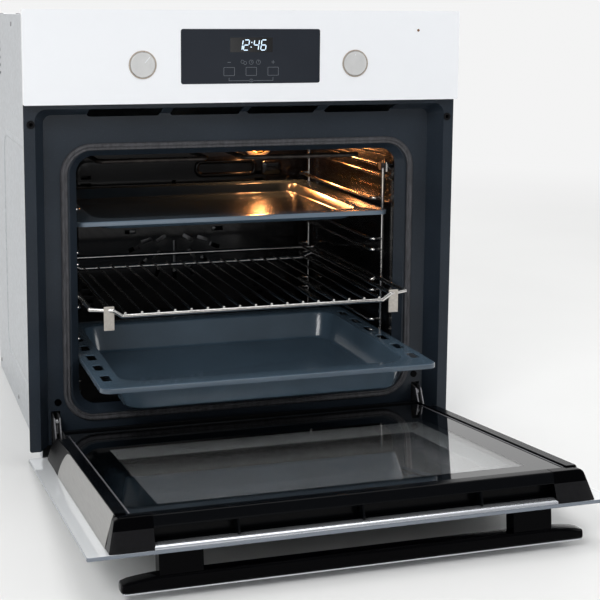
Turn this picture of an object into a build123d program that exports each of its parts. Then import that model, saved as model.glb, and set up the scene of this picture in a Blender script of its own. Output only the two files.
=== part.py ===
from build123d import *
import os

# Built-in wall oven, 595 mm front, millimetres.
# X to the right, Y into the oven, Z up. Sizes below are measured from the middle of
# the base line under the control panel's face; the origin of the part is the middle
# of the case's underside, ORIGIN_Y behind that line.

ORIGIN_Y = 300.0

# ------------------------------------------------------------------ front
FRONT_W = 595.0            # width of control panel and door glass
FRONT_H = 595.0            # height of the whole front
PANEL_Z = 475.0            # lower edge of the control panel
PANEL_T = 11.8             # depth of the control panel pan
SHEET = 1.3                # pressed sheet thickness

FLANGE_W = 594.0           # enamelled front frame
FLANGE_Y = 12.0
FRAME_Z = 20.0             # lower edge of the frame
RECESS_HALF = 282.5        # recess at the flange plane
RECESS_TOP = 469.0
FLOOR_Y = 37.0             # recess floor
FLOOR_HALF = 269.0
FLOOR_TOP = 460.0
SCREW_X = 287.7            # cabinet fixing screws
SCREW_Z = 450.0

# ------------------------------------------------------------------ cavity
MOUTH_HALF = 225.5
MOUTH_Z0 = 69.5
MOUTH_Z1 = 405.0
MOUTH_R = 24.0
MOUTH_Y = 48.0
CAV_HALF = 237.5
CAV_Z0 = 62.0
CAV_Z1 = 418.0
CAV_Y1 = 462.0
CAV_R = 12.0
LINER = 1.2
LAMP_X = 150.0
LAMP_Z = 377.0

# ------------------------------------------------------------------ racks
RACK_X = 214.0             # guide rods
RACK_POST_X = 231.0        # uprights
RACK_Y0 = 103.0
RACK_Y1 = 430.0
RACK_ROD = 5.0
LEVELS = (70.0, 130.0, 190.0, 250.0, 310.0)    # lower rod of each pair
PAIR = 16.0

# ------------------------------------------------------------------ controls
KNOB_X = 145.3
KNOB_Z = 525.0
KNOB_R = 16.25
KNOB_TRAVEL = 12.0
SHAFT_R = 3.0
WINDOW_HALF = 95.0
WINDOW_Z0 = 499.7
WINDOW_Z1 = 570.7

# ------------------------------------------------------------------ door
HINGE_Y = 16.0
HINGE_Z = 25.0
DOOR_OPEN = 84.0           # angle of the open stop
DOOR_Y0 = -5.0             # outer face of the outer glass, door closed
DOOR_Y1 = 34.5             # inner face of the door frame
DOOR_Z0 = 10.0
DOOR_Z1 = 471.0
GLASS = 4.0
RAIL_X = 252.0             # side rails
SIDE_X = 264.6             # side plates, inner edge
SIDE_BASE = 275.0          # side plates at the outer glass
CAP_X = 227.0              # inner end of the corner caps
CAP_Z0 = 446.0

# ------------------------------------------------------------------ handle
HANDLE_HALF = 262.0
HANDLE_Z0 = 444.0
HANDLE_Z1 = 466.0
HANDLE_Y0 = -44.0
HANDLE_Y1 = -29.0
POST_X = 199.5
POST_W = 47.0

# ------------------------------------------------------------------ trays
TRAY_HALF = 224.5
TRAY_DEPTH = 368.0
TRAY_IN_Y = 62.0           # front edge of a tray that is right in
RIM_T = 1.2
RIM_GAP = 0.3              # rim to guide rod
PAN_OUT = 177.0            # how far the deep pan is pulled out
PAN_DEEP = 38.0
TRAY_DEEP = 15.0
SHELF_OUT = 80.0
SHELF_FRONT_Y = -25.0
SHELF_REAR_Y = 357.0


def block(x0, x1, y0, y1, z0, z1):
    box = Box(x1 - x0, y1 - y0, z1 - z0, align=(Align.MIN, Align.MIN, Align.MIN))
    return Pos(x0, y0, z0) * box


def panel(half, z0, z1, radius, y0, y1):
    """Upright slab with rounded corners, symmetric about X = 0."""
    face = RectangleRounded(2 * half, z1 - z0, radius)
    slab = Rot(-90, 0, 0) * extrude(face, y1 - y0)
    return Pos(0, y0, (z0 + z1) / 2) * slab


def funnel(front, rear):
    """Loft between two upright rounded rectangles (half, z0, z1, radius, y)."""
    faces = []
    for half, z0, z1, radius, y in (front, rear):
        face = RectangleRounded(2 * half, z1 - z0, radius)
        faces.append(Pos(0, y, (z0 + z1) / 2) * Rot(-90, 0, 0) * face)
    return loft(faces)


def tub(half, z0, z1, radius, y0, y1):
    """Flat-lying slab with rounded corners, Z up."""
    face = RectangleRounded(2 * half, y1 - y0, radius)
    return Pos(0, (y0 + y1) / 2, z0) * extrude(face, z1 - z0)


def rod_y(x, z, radius, y0, y1):
    bar = Cylinder(radius, y1 - y0, align=(Align.CENTER, Align.CENTER, Align.MIN))
    return Pos(x, y0, z) * Rot(-90, 0, 0) * bar


def rod_x(y, z, radius, x0, x1):
    bar = Cylinder(radius, x1 - x0, align=(Align.CENTER, Align.CENTER, Align.MIN))
    return Pos(x0, y, z) * Rot(0, 90, 0) * bar


def rod_z(x, y, radius, z0, z1):
    bar = Cylinder(radius, z1 - z0, align=(Align.CENTER, Align.CENTER, Align.MIN))
    return Pos(x, y, z0) * bar


def wire(points, diameter, bend):
    """Round wire along a path with rounded corners."""
    path = FilletPolyline(*points, radius=bend)
    section = Plane(origin=path @ 0, z_dir=path % 0) * Circle(diameter / 2)
    return sweep(section, path=path)


def profile_x(points, x0, x1):
    """Prism along X from (y, z) points."""
    face = make_face(Polyline(*[(0, y, z) for y, z in points], close=True))
    return Pos(x0, 0, 0) * extrude(face, x1 - x0, dir=(1, 0, 0))


def profile_z(points, z0, z1):
    """Prism along Z from (x, y) points."""
    face = make_face(Polyline(*[(x, y, 0) for x, y in points], close=True))
    return Pos(0, 0, z0) * extrude(face, z1 - z0, dir=(0, 0, 1))


def mirrored(shape):
    return mirror(shape, about=Plane.YZ)


def both(shape):
    """The piece and its mirror image as two separate solids."""
    return [shape, mirrored(shape)]


def opened(shape):
    """Turn a door piece drawn shut to its open stop."""
    axis = Axis((0, HINGE_Y, HINGE_Z), (1, 0, 0))
    return shape.rotate(axis, DOOR_OPEN)


# ------------------------------------------------------------------ control panel
def control_panel():
    half = FRONT_W / 2
    body = panel(half, PANEL_Z, FRONT_H, 1.5, 0, PANEL_T)
    body -= panel(half - 2, PANEL_Z + 2, FRONT_H - 2, 1, 2, PANEL_T + 1)
    body -= panel(WINDOW_HALF, WINDOW_Z0, WINDOW_Z1, 3, -1, 1.2)
    body -= panel(WINDOW_HALF - 4, WINDOW_Z0 + 4, WINDOW_Z1 - 4, 3, 0, 3)
    for side in (-1, 1):
        body -= rod_y(side * KNOB_X, KNOB_Z, 18.2, -1, 3)
    body -= rod_y(236.5, 569.0, 1.8, -1, 3)
    return body


def display_window():
    return panel(WINDOW_HALF, WINDOW_Z0, WINDOW_Z1, 3, -0.3, 1.2)


def display_board():
    board = panel(86, 506, 565, 2, 2.2, 20)
    board += panel(110, 490, 580, 2, 20, 22)
    board += block(-105, -60, 22, 44, 500, 545)
    board += block(20, 70, 22, 50, 505, 560)
    return board


def knob_bezel():
    ring = rod_y(KNOB_X, KNOB_Z, 18.2, -0.8, 13)
    ring -= rod_y(KNOB_X, KNOB_Z, KNOB_R + 0.35, -2, 14)
    return both(ring)


def led_lens():
    return rod_y(236.5, 569.0, 1.8, -0.3, 6)


def knob(side):
    x = side * KNOB_X
    cap = rod_y(x, KNOB_Z, KNOB_R, -1.5, 13)
    cap -= rod_y(x, KNOB_Z, KNOB_R - 2, 1.5, 14)
    cap += rod_y(x, KNOB_Z, 6, 1.5, 24)
    cap -= rod_y(x, KNOB_Z, SHAFT_R + 0.05, 4, 25)
    return cap


def knob_shaft(side):
    return rod_y(side * KNOB_X, KNOB_Z, SHAFT_R, 4.5, 40)


def rotary_switch(side, width):
    x = side * KNOB_X
    body = block(x - width / 2, x + width / 2, 26, 52, KNOB_Z - 20, KNOB_Z + 20)
    body += rod_y(x, KNOB_Z, 8, 25, 26)
    body -= rod_y(x, KNOB_Z, SHAFT_R + 0.05, 24, 41)
    for dx in (-12, -4, 4, 12):
        body += block(x + dx - 2, x + dx + 2, 52, 60, KNOB_Z - 14, KNOB_Z - 13)
    return body


# ------------------------------------------------------------------ front frame
def front_frame():
    half = FLANGE_W / 2
    frame = panel(half, FRAME_Z, 592, 3, FLANGE_Y, FLANGE_Y + SHEET)
    frame -= panel(RECESS_HALF, -60, RECESS_TOP, 14, 0, FLANGE_Y + 5)
    frame -= panel(262, 484, 586, 4, 0, FLANGE_Y + 5)
    inner = funnel((RECESS_HALF, -60, RECESS_TOP, 14, FLANGE_Y),
                   (FLOOR_HALF, -60, FLOOR_TOP, 11, FLOOR_Y))
    outer = funnel((RECESS_HALF + SHEET, -60, RECESS_TOP + SHEET, 15.3, FLANGE_Y),
                   (FLOOR_HALF + SHEET, -60, FLOOR_TOP + SHEET, 12.3, FLOOR_Y + SHEET))
    dish = outer - inner
    dish -= block(-320, 320, 0, 60, -80, FRAME_Z)
    frame += dish
    frame -= panel(236, 60, 414, 34, FLOOR_Y - 1, FLOOR_Y + 3)
    lip = funnel((236 + LINER, 58.8, 415.2, 35.2, FLOOR_Y),
                 (MOUTH_HALF + LINER, MOUTH_Z0 - LINER, MOUTH_Z1 + LINER, 25.2, MOUTH_Y))
    lip -= funnel((236, 60, 414, 34, FLOOR_Y),
                  (MOUTH_HALF, MOUTH_Z0, MOUTH_Z1, MOUTH_R, MOUTH_Y))
    frame += lip
    for middle, half_slot in ((53, 48), (163.5, 48.5)):
        slot = Pos(middle, 0, 0) * panel(half_slot, 457, 480, 4, 14.5, FLOOR_Y + 3)
        frame -= slot
        frame -= mirrored(slot)
    frame -= block(-250, 250, FLOOR_Y - 2, FLOOR_Y + 4, 0, 28)
    for side in (-1, 1):
        frame -= rod_y(side * SCREW_X, SCREW_Z, 2.75, 5, 20)
        frame -= rod_y(side * 256, 78, 3, 30, 42)
        frame -= block(side * 259 - 6, side * 259 + 6, 30, 45, 18, 66)
    return frame


def frame_screw():
    screw = rod_y(256, 78, 4.6, FLOOR_Y - 1.8, FLOOR_Y)
    screw += rod_y(256, 78, 2.9, FLOOR_Y, FLOOR_Y + 9)
    return both(screw)


def door_gasket():
    ring = panel(248, 49, 422, 42, FLOOR_Y - 4.2, FLOOR_Y)
    ring -= panel(239, 58, 413, 34, FLOOR_Y - 6, FLOOR_Y + 1)
    edges = ring.faces().sort_by(Axis.Y)[0].edges()
    return fillet(edges, 2.4)


# ------------------------------------------------------------------ cavity
def cavity_liner():
    shell = panel(CAV_HALF + LINER, CAV_Z0 - LINER, CAV_Z1 + LINER, CAV_R + LINER,
                  MOUTH_Y, CAV_Y1 + LINER)
    shell -= panel(CAV_HALF, CAV_Z0, CAV_Z1, CAV_R, MOUTH_Y + LINER, CAV_Y1)
    shell -= panel(MOUTH_HALF, MOUTH_Z0, MOUTH_Z1, MOUTH_R, MOUTH_Y - 1, MOUTH_Y + 5)
    shell -= rod_y(0, 235, 6, 450, 470)
    shell -= rod_y(LAMP_X, LAMP_Z, 17, 450, 470)
    shell -= rod_y(-175, 385, 3.1, 450, 470)
    for side in (-1, 1):
        shell -= rod_y(side * 188, 392, 3.4, 450, 470)
    return shell


def fan_cover():
    cover = panel(160, 98, 352, 18, 441, CAV_Y1)
    cover -= panel(158.8, 99.2, 350.8, 17, 442.2, CAV_Y1 + 1)
    for ring, count in ((26, 6), (50, 10), (74, 16)):
        for k in range(count):
            slot = block(-3, 3, 430, 450, ring - 9, ring + 9)
            slot = slot.rotate(Axis((0, 0, 0), (0, 1, 0)), 360 * k / count)
            cover -= Pos(0, 0, 235) * slot
    for side in (-1, 1):
        for z0 in (120, 300):
            for k in range(3):
                x = side * 146 - 8
                cover -= block(x, x + 16, 430, 450, z0 + 12 * k, z0 + 12 * k + 5)
    return cover


def convection_fan():
    fan = rod_y(0, 235, 72, 455.5, 456.7)
    fan += rod_y(0, 235, 9, 445, 456)
    for k in range(8):
        blade = block(-0.8, 0.8, 445.5, 456, 12, 71)
        fan += Pos(0, 0, 235) * blade.rotate(Axis((0, 0, 0), (0, 1, 0)), 45 * k)
    fan += rod_y(0, 235, 4, 456, 505)
    return fan


def convection_motor():
    motor = block(-38, 38, 490, 530, 197, 273)
    motor += rod_y(0, 235, 14, 486.5, 490)
    motor -= rod_y(0, 235, 4.05, 480, 506)
    return motor


def grill_element():
    z = 392.0
    path = [(-188, 470, z), (-188, 90, z), (-36, 90, z), (-36, 405, z), (18, 405, z),
            (18, 90, z), (188, 90, z), (188, 470, z)]
    return wire(path, 6.5, 14)


def bottom_element():
    z = 56.2
    path = [(-60, 462, z), (-60, 420, z), (-180, 420, z), (-180, 100, z), (180, 100, z),
            (180, 420, z), (60, 420, z), (60, 462, z)]
    return wire(path, 6.5, 20)


def lamp_glass():
    dome = rod_y(LAMP_X, LAMP_Z, 22, 452, CAV_Y1)
    dome = fillet(dome.faces().sort_by(Axis.Y)[0].edges(), 8)
    dome -= rod_y(LAMP_X, LAMP_Z, 15, 454.5, CAV_Y1 + 1)
    return dome


def lamp_bulb():
    bulb = rod_y(LAMP_X, LAMP_Z, 10, 456.5, 484)
    bulb += rod_y(LAMP_X, LAMP_Z, 14, 484, 512)
    return bulb


def temperature_probe():
    return rod_y(-175, 385, 3.0, 400, 480)


def side_rack(side):
    rack = rod_z(RACK_POST_X, RACK_Y0, 2.75, 66, 372)
    rack += rod_z(RACK_POST_X, RACK_Y1, 2.75, 66, 372)
    for y in (RACK_Y0, RACK_Y1):
        hook = wire([(RACK_POST_X, y, 371), (RACK_POST_X, y, 380),
                     (RACK_POST_X, y - 14, 380), (RACK_POST_X, y - 14, 366)], 5.5, 4)
        rack += hook
    for z in LEVELS:
        for dz in (0, PAIR):
            path = [(RACK_POST_X, RACK_Y0, z + dz), (RACK_X, RACK_Y0, z + dz),
                    (RACK_X, RACK_Y1, z + dz), (RACK_POST_X, RACK_Y1, z + dz)]
            rack += wire(path, RACK_ROD, 6)
    return rack if side > 0 else mirrored(rack)


def rack_stud():
    studs = []
    for y in (RACK_Y0 - 7, RACK_Y1 - 7):
        stud = rod_x(y, 373.8, 3.2, 224, CAV_HALF)
        stud += rod_x(y, 373.8, 5.5, 222.5, 225)
        studs += both(stud)
    return studs


# ------------------------------------------------------------------ case
def insulation():
    wool = block(-256, 256, 52, 486, 38, 440)
    wool -= block(-(CAV_HALF + LINER), CAV_HALF + LINER, 50, 464, 52, 420)
    wool -= block(-45, 45, 460, 490, 190, 280)
    wool -= rod_y(LAMP_X, LAMP_Z, 18, 460, 490)
    wool -= rod_y(-175, 385, 4, 460, 490)
    for side in (-1, 1):
        wool -= rod_y(side * 188, 392, 5, 460, 490)
        wool -= block(side * 257 - 9, side * 257 + 9, 50, 150, 20, 80)
    return wool


def base_panel():
    base = block(-277.7, 277.7, 42, 549.2, 0, 1.2)
    for y in (70, 500):
        for k in range(-3, 4):
            base -= block(60 * k - 20, 60 * k + 20, y, y + 4, -1, 2)
    return base


def side_panel():
    side = block(276.5, 277.7, 40, 548, 1.2, 587)
    for k in range(6):
        side -= block(270, 280, 440, 500, 495 + 12 * k, 499 + 12 * k)
    return both(side)


def rear_panel():
    rear = block(-277.7, 277.7, 548, 549.2, 1.2, 587)
    for z in (60, 150, 330, 470):
        bead = [(549.2, z), (550.8, z + 2), (550.8, z + 8), (549.2, z + 10)]
        rear += profile_x(bead, -225, 225)
    for k in range(7):
        rear -= block(-60, 60, 540, 555, 205 + 10 * k, 210 + 10 * k)
    rear -= block(150, 230, 540, 555, 505, 560)
    return rear


def top_panel():
    top = block(-277.7, 277.7, 40, 549.2, 587, 588.2)
    for k in range(8):
        top -= block(-100, 100, 440 + 10 * k, 444 + 10 * k, 580, 590)
    return top


def air_duct():
    duct = block(-256, 256, 40, 480, 441, 470.5)
    duct -= block(-254.8, 254.8, 30, 478.8, 442.2, 469.3)
    duct -= rod_z(0, 330, 52, 465, 475)
    duct -= block(-230, 230, 38, 60, 465, 475)
    return duct


def blower_housing():
    house = rod_z(0, 330, 78, 470.5, 536)
    house += block(-78, 0, 330, 430, 470.5, 536)
    house -= rod_z(0, 330, 76, 471.7, 534.8)
    house -= block(-76, -2, 330, 431, 471.7, 534.8)
    house -= rod_z(0, 330, 52, 465, 475)
    house -= rod_z(0, 330, 4.5, 530, 540)
    return house


def blower_rotor():
    rotor = rod_z(0, 330, 66, 529, 530.5)
    rotor += rod_z(0, 330, 10, 500, 529.5)
    for k in range(20):
        blade = block(-0.7, 0.7, 53, 64.5, 477.8, 529.6)
        blade = blade.rotate(Axis((0, 0, 0), (0, 0, 1)), 18 * k)
        rotor += Pos(0, 330, 0) * blade
    rotor += rod_z(0, 330, 66, 477, 478.5) - rod_z(0, 330, 52, 470, 480)
    rotor += rod_z(0, 330, 4, 530.2, 560)
    return rotor


def blower_motor():
    motor = block(-32, 32, 300, 360, 538, 578)
    motor += rod_z(0, 330, 12, 536, 538)
    motor -= rod_z(0, 330, 4.05, 530, 561)
    return motor


def terminal_block():
    base = block(158, 222, 505, 548, 512, 552)
    base = base - block(164, 216, 500, 530, 518, 546)
    for k in range(3):
        base += rod_y(175 + 15 * k, 532, 4, 520, 531)
    return base


# ------------------------------------------------------------------ hinges
def hinge_bracket(side):
    cheek = [(9, 20), (13, 17.5), (20, 17.5), (24, 21), (40, 26.5), (140, 26.5),
             (140, 62), (36, 62), (25, 60), (9, 31)]
    body = profile_x(cheek, 254.6, 256.4)
    body += profile_x(cheek, 261.8, 263.6)
    body += block(254.6, 263.6, 60, 140, 60, 62)
    body += block(254.6, 263.6, 60, 140, 26.5, 28.5)
    body += rod_x(HINGE_Y, HINGE_Z, 4, 254.6, 263.6)
    body += rod_x(30, 53, 2, 254.6, 263.6)
    body += block(250, 254.6, 138, 140, 26.5, 62)
    return body if side > 0 else mirrored(body)


def hinge_catch(side):
    lever = rod_x(30, 53, 4.5, 257.2, 261)
    lever += block(257.2, 261, 26.8, 33.5, 37, 53)
    lever -= rod_x(30, 53, 2.05, 250, 270)
    return lever if side > 0 else mirrored(lever)


def hinge_arm():
    arm = rod_x(HINGE_Y, HINGE_Z, 8, 257, 261.2)
    arm += block(257, 261.2, 9, 22, HINGE_Z, 150)
    arm += block(257, 261.2, 0.6, 22, 90, 150)
    arm -= rod_x(HINGE_Y, HINGE_Z, 4.05, 250, 270)
    return both(arm)


# ------------------------------------------------------------------ door
def outer_glass():
    glass = panel(FRONT_W / 2, DOOR_Z0, DOOR_Z1, 3, DOOR_Y0, DOOR_Y0 + GLASS)
    for side in (-1, 1):
        glass -= rod_y(side * POST_X, 453, 3, -10, 0)
    return glass


def middle_glass():
    return panel(251.9, 31, 443, 1.5, 13.6, 17.6)


def inner_glass():
    return panel(251.9, 31, CAP_Z0, 1.5, 28.5, 32.5)


def door_rail(side):
    section = [(268, -1), (268, 0.6), (253.6, 0.6), (253.6, 32.5), (264.4, 32.5),
               (264.4, 34.5), (252, 34.5), (252, 28.5), (246, 28.5), (246, 26.9),
               (252, 26.9), (252, 13.6), (246, 13.6), (246, 12), (252, 12), (252, -1)]
    rail = profile_z(section, 20, CAP_Z0)
    rail -= block(253.6, 270, 2, 40, 10, 72)
    rail -= block(240, 252, 2, 40, 10, 31)
    return rail if side > 0 else mirrored(rail)


def door_side(side):
    section = [(SIDE_BASE, -1), (273.6, 12), (270, 25), (SIDE_X, 34.5), (SIDE_X, 32.6),
               (268.6, 24.4), (272, 11.8), (273.4, -1)]
    plate = profile_z(section, 24, CAP_Z0)
    corner = profile_x([(20, 0), (60, 0), (60, 60), (34.6, 46)], 250, 290)
    plate -= corner
    return plate if side > 0 else mirrored(plate)


def top_profile():
    section = [(4.6, CAP_Z0), (DOOR_Y1, CAP_Z0), (DOOR_Y1, 455.5), (17, 464.5),
               (17, 448), (4.6, 448)]
    bar = profile_x(section, -CAP_X, CAP_X)
    for x in (-138, 0, 138):
        bar += block(x - 1.5, x + 1.5, 4.6, 17, 448, 464)
    return bar


def end_cap(side):
    outline = [(4.6, CAP_Z0), (DOOR_Y1, CAP_Z0), (DOOR_Y1, 455.5), (17, 464.5),
               (4.6, 467.5)]
    cap = profile_x(outline, CAP_X, SIDE_BASE)
    skirt = profile_z([(SIDE_BASE - 0.6, 4), (273.6, 12), (270, 25), (SIDE_X, 34.6),
                       (290, 34.6), (290, 4)], 440, 475)
    cap -= skirt
    cap -= profile_z([(277, 0), (277, 40), (262, 40), (264, 0)], 475, 476)
    slant = Pos(SIDE_BASE, 20, 468) * Rot(0, 45, 0) * Box(14, 40, 14)
    cap -= slant
    return cap if side > 0 else mirrored(cap)


def top_strip():
    strip = block(-SIDE_BASE, SIDE_BASE, -1, 4.4, 459, DOOR_Z1)
    return strip - block(-270, 270, 0.2, 5, 450, 469.6)


def bottom_rail():
    bar = block(-251.9, 251.9, -1, DOOR_Y1, 20, 30.9)
    bar -= block(-245, 245, 3, 26, 10, 28)
    return bar


def handle_bar():
    outline = [(-262, -44), (262, -44), (262, -38), (246, -31.4), (228, -29),
               (-228, -29), (-246, -31.4), (-262, -38)]
    bar = profile_z(outline, HANDLE_Z0, HANDLE_Z1)
    edges = bar.edges().filter_by(Axis.X)
    bar = fillet(edges, 3)
    for side in (-1, 1):
        bar -= rod_y(side * POST_X, 453, 2.1, -36, -20)
    return bar


def handle_post():
    x0 = POST_X - POST_W / 2
    post = block(x0, x0 + POST_W, HANDLE_Y1, DOOR_Y0, 445.5, 464.5)
    post = fillet(post.edges().filter_by(Axis.Y), 1.5)
    post -= rod_y(POST_X, 453, 2.1, -40, 0)
    return both(post)


def handle_face():
    face = block(-HANDLE_HALF + 1, HANDLE_HALF - 1, HANDLE_Y0 - 1.6, HANDLE_Y0,
                 HANDLE_Z0 + 1, HANDLE_Z1 - 1)
    return fillet(face.edges().filter_by(Axis.Y), 1.5)


def handle_screw():
    screw = rod_y(POST_X, 453, 2.0, -35, DOOR_Y0 + GLASS)
    screw += rod_y(POST_X, 453, 4.2, DOOR_Y0 + GLASS, 2)
    return both(screw)


# ------------------------------------------------------------------ trays and shelf
def tray(rim_z, front_y, deep, lip, slots):
    """Pressed tray: wide rim with a turned-down front lip, sloping walls."""
    rear_y = front_y + TRAY_DEPTH
    mid = (front_y + rear_y) / 2
    rim = tub(TRAY_HALF, rim_z - RIM_T, rim_z, 12, front_y, rear_y)
    top = Pos(0, mid, rim_z) * RectangleRounded(388, TRAY_DEPTH - 56, 30)
    low = Pos(0, mid, rim_z - deep) * RectangleRounded(366, TRAY_DEPTH - 78, 24)
    top_out = Pos(0, mid, rim_z) * RectangleRounded(390.4, TRAY_DEPTH - 53.6, 31.2)
    low_out = Pos(0, mid, rim_z - deep - RIM_T) * RectangleRounded(368, TRAY_DEPTH - 76, 25)
    body = rim + loft([top_out, low_out])
    body -= loft([top, low])
    edge = block(-TRAY_HALF + 12, TRAY_HALF - 12, front_y, front_y + 1.2,
                 rim_z - lip, rim_z - RIM_T)
    body += edge
    if slots:
        for side in (-1, 1):
            for k in range(6):
                y = front_y + 38 + 53 * k
                slot = Pos(side * 209.5, y + 14, rim_z - 3) * RectangleRounded(12, 29, 2.6)
                body -= extrude(slot, 6)
    return body


def baking_tray():
    rim_z = LEVELS[4] + RACK_ROD / 2 + RIM_GAP + RIM_T
    return tray(rim_z, TRAY_IN_Y, TRAY_DEEP, 9, False)


def deep_pan():
    rim_z = LEVELS[1] + RACK_ROD / 2 + RIM_GAP + RIM_T
    return tray(rim_z, TRAY_IN_Y - PAN_OUT, PAN_DEEP, 7, True)


def wire_shelf():
    z_side = LEVELS[2] + PAIR + RACK_ROD / 2 + 3.0 + RIM_GAP
    z_low = z_side - 8
    y0 = SHELF_FRONT_Y
    y1 = SHELF_REAR_Y
    frame = wire([(-219, y0 + 14, z_side), (-219, y1, z_side), (219, y1, z_side),
                  (219, y0 + 14, z_side)], 6, 10)
    front = wire([(-220, y0 + 14, z_side), (-192, y0, z_side), (-180, y0, z_low),
                  (180, y0, z_low), (192, y0, z_side), (220, y0 + 14, z_side)], 5.6, 3)
    rear = wire([(-195, y1 - 1, z_side), (-195, y1 - 48, z_side), (-178, y1 - 48, z_low),
                 (178, y1 - 48, z_low), (195, y1 - 48, z_side), (195, y1 - 1, z_side)],
                5.6, 4)
    shelf = frame + front + rear
    for side in (-1, 1):
        shelf += rod_y(side * 195, z_side, 2.8, y0 + 3, y1 - 40)
        shelf += block(side * 197 - 6.5, side * 197 + 6.5, y0 + 0.5, y0 + 2.5,
                       z_side - 26, z_side + 5)
    for k in range(17):
        shelf += rod_y(-176 + 22 * k, z_low + 3.6, 1.6, y0, y1 - 47)
    return shelf


# ------------------------------------------------------------------ write
def nodes():
    doors = {
        "outer_glass": outer_glass(),
        "middle_glass": middle_glass(),
        "inner_glass": inner_glass(),
        "door_rail_left": door_rail(-1),
        "door_rail_right": door_rail(1),
        "door_side_left": door_side(-1),
        "door_side_right": door_side(1),
        "top_profile": top_profile(),
        "end_cap_left": end_cap(-1),
        "end_cap_right": end_cap(1),
        "top_strip": top_strip(),
        "bottom_rail": bottom_rail(),
        "hinge_arm": hinge_arm(),
        "handle_bar": handle_bar(),
        "handle_post": handle_post(),
        "handle_face": handle_face(),
        "handle_screw": handle_screw(),
    }
    parts = {
        "control_panel": control_panel(),
        "display_window": display_window(),
        "display_board": display_board(),
        "knob_bezel": knob_bezel(),
        "led_lens": led_lens(),
        "function_knob": knob(-1),
        "thermostat_knob": knob(1),
        "function_shaft": knob_shaft(-1),
        "thermostat_shaft": knob_shaft(1),
        "function_switch": rotary_switch(-1, 44),
        "thermostat_switch": rotary_switch(1, 38),
        "front_frame": front_frame(),
        "frame_screw": frame_screw(),
        "door_gasket": door_gasket(),
        "cavity_liner": cavity_liner(),
        "fan_cover": fan_cover(),
        "convection_fan": convection_fan(),
        "convection_motor": convection_motor(),
        "grill_element": grill_element(),
        "bottom_element": bottom_element(),
        "lamp_glass": lamp_glass(),
        "lamp_bulb": lamp_bulb(),
        "temperature_probe": temperature_probe(),
        "side_rack_left": side_rack(-1),
        "side_rack_right": side_rack(1),
        "rack_stud": rack_stud(),
        "insulation": insulation(),
        "base_panel": base_panel(),
        "side_panel": side_panel(),
        "rear_panel": rear_panel(),
        "top_panel": top_panel(),
        "air_duct": air_duct(),
        "blower_housing": blower_housing(),
        "blower_rotor": blower_rotor(),
        "blower_motor": blower_motor(),
        "terminal_block": terminal_block(),
        "hinge_bracket_left": hinge_bracket(-1),
        "hinge_bracket_right": hinge_bracket(1),
        "hinge_catch_left": hinge_catch(-1),
        "hinge_catch_right": hinge_catch(1),
        "baking_tray": baking_tray(),
        "wire_shelf": wire_shelf(),
        "deep_pan": deep_pan(),
    }
    for name, shape in doors.items():
        if isinstance(shape, list):
            parts[name] = [opened(piece) for piece in shape]
        else:
            parts[name] = opened(shape)
    return parts


def write_parts():
    os.makedirs("parts", exist_ok=True)
    for name, shape in nodes().items():
        pieces = shape if isinstance(shape, list) else [shape]
        solids = []
        for piece in pieces:
            solids += (Pos(0, -ORIGIN_Y, 0) * piece).solids()
        node = solids[0] if len(solids) == 1 else Compound(children=solids)
        node.label = name
        export_step(node, "parts/" + name + ".step")
        print(name, len(solids), round(sum(s.volume for s in solids)))


write_parts()
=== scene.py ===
import math

import bmesh
import bpy
from mathutils import Matrix, Vector


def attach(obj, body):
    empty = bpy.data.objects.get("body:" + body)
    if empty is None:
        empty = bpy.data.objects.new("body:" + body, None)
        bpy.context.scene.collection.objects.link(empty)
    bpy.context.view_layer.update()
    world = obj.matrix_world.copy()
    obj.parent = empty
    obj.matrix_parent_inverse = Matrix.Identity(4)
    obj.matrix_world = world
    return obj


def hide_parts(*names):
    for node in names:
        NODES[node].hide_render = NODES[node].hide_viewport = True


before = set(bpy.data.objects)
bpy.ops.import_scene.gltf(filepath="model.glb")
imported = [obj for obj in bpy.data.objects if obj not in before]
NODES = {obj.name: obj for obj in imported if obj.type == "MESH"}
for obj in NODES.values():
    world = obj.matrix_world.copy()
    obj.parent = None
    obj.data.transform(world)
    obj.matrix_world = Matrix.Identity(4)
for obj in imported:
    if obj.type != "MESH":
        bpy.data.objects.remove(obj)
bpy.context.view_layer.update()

# Sizes are in millimetres on the CAD's drawing axes, whose Y starts at the panel face.
MM = 0.001
DRAWING_Y = 300.0
HINGE_Y, HINGE_Z, DOOR_OPEN = 16.0, 25.0, math.radians(84.0)
KNOB_X, KNOB_Z = 145.3, 525.0               # the two knobs' axes
CABINET_SCREW_X, CABINET_SCREW_Z = 287.7, 450.0
FRAME_FLOOR_Y = 37.0                        # flat of the frame round the mouth
LINER_SIDE, LINER_ROOF = 237.7, 418.0       # just outside the cavity's walls
LAMP_X, LAMP_Z = 150.0, 377.0
CASE_SIDE, CASE_BACK, CASE_TOP = 277.7, 549.2, 588.2
RIM_BAR_Z = 446.0                           # inner edge of the door's top bar and caps
BAR_HALF = 227.2                            # half length of the top bar, between the caps
SIDES = ((-1, "left"), (1, "right"))


def at(x, y, z):
    return Vector((x * MM, (y - DRAWING_Y) * MM, z * MM))


def door_at(x, y, z):
    """A point of the door as drawn shut, moved to where the door hangs open."""
    c, s = math.cos(DOOR_OPEN), math.sin(DOOR_OPEN)
    dy, dz = y - HINGE_Y, z - HINGE_Z
    return at(x, HINGE_Y + c * dy - s * dz, HINGE_Z + s * dy + c * dz)


# ------------------------------------------------------------------ materials
def srgb(r, g, b):
    def linear(v):
        v /= 255.0
        return v / 12.92 if v <= 0.04045 else ((v + 0.055) / 1.055) ** 2.4

    return (linear(r), linear(g), linear(b), 1.0)


LOOKS = {}          # every material by name


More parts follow.
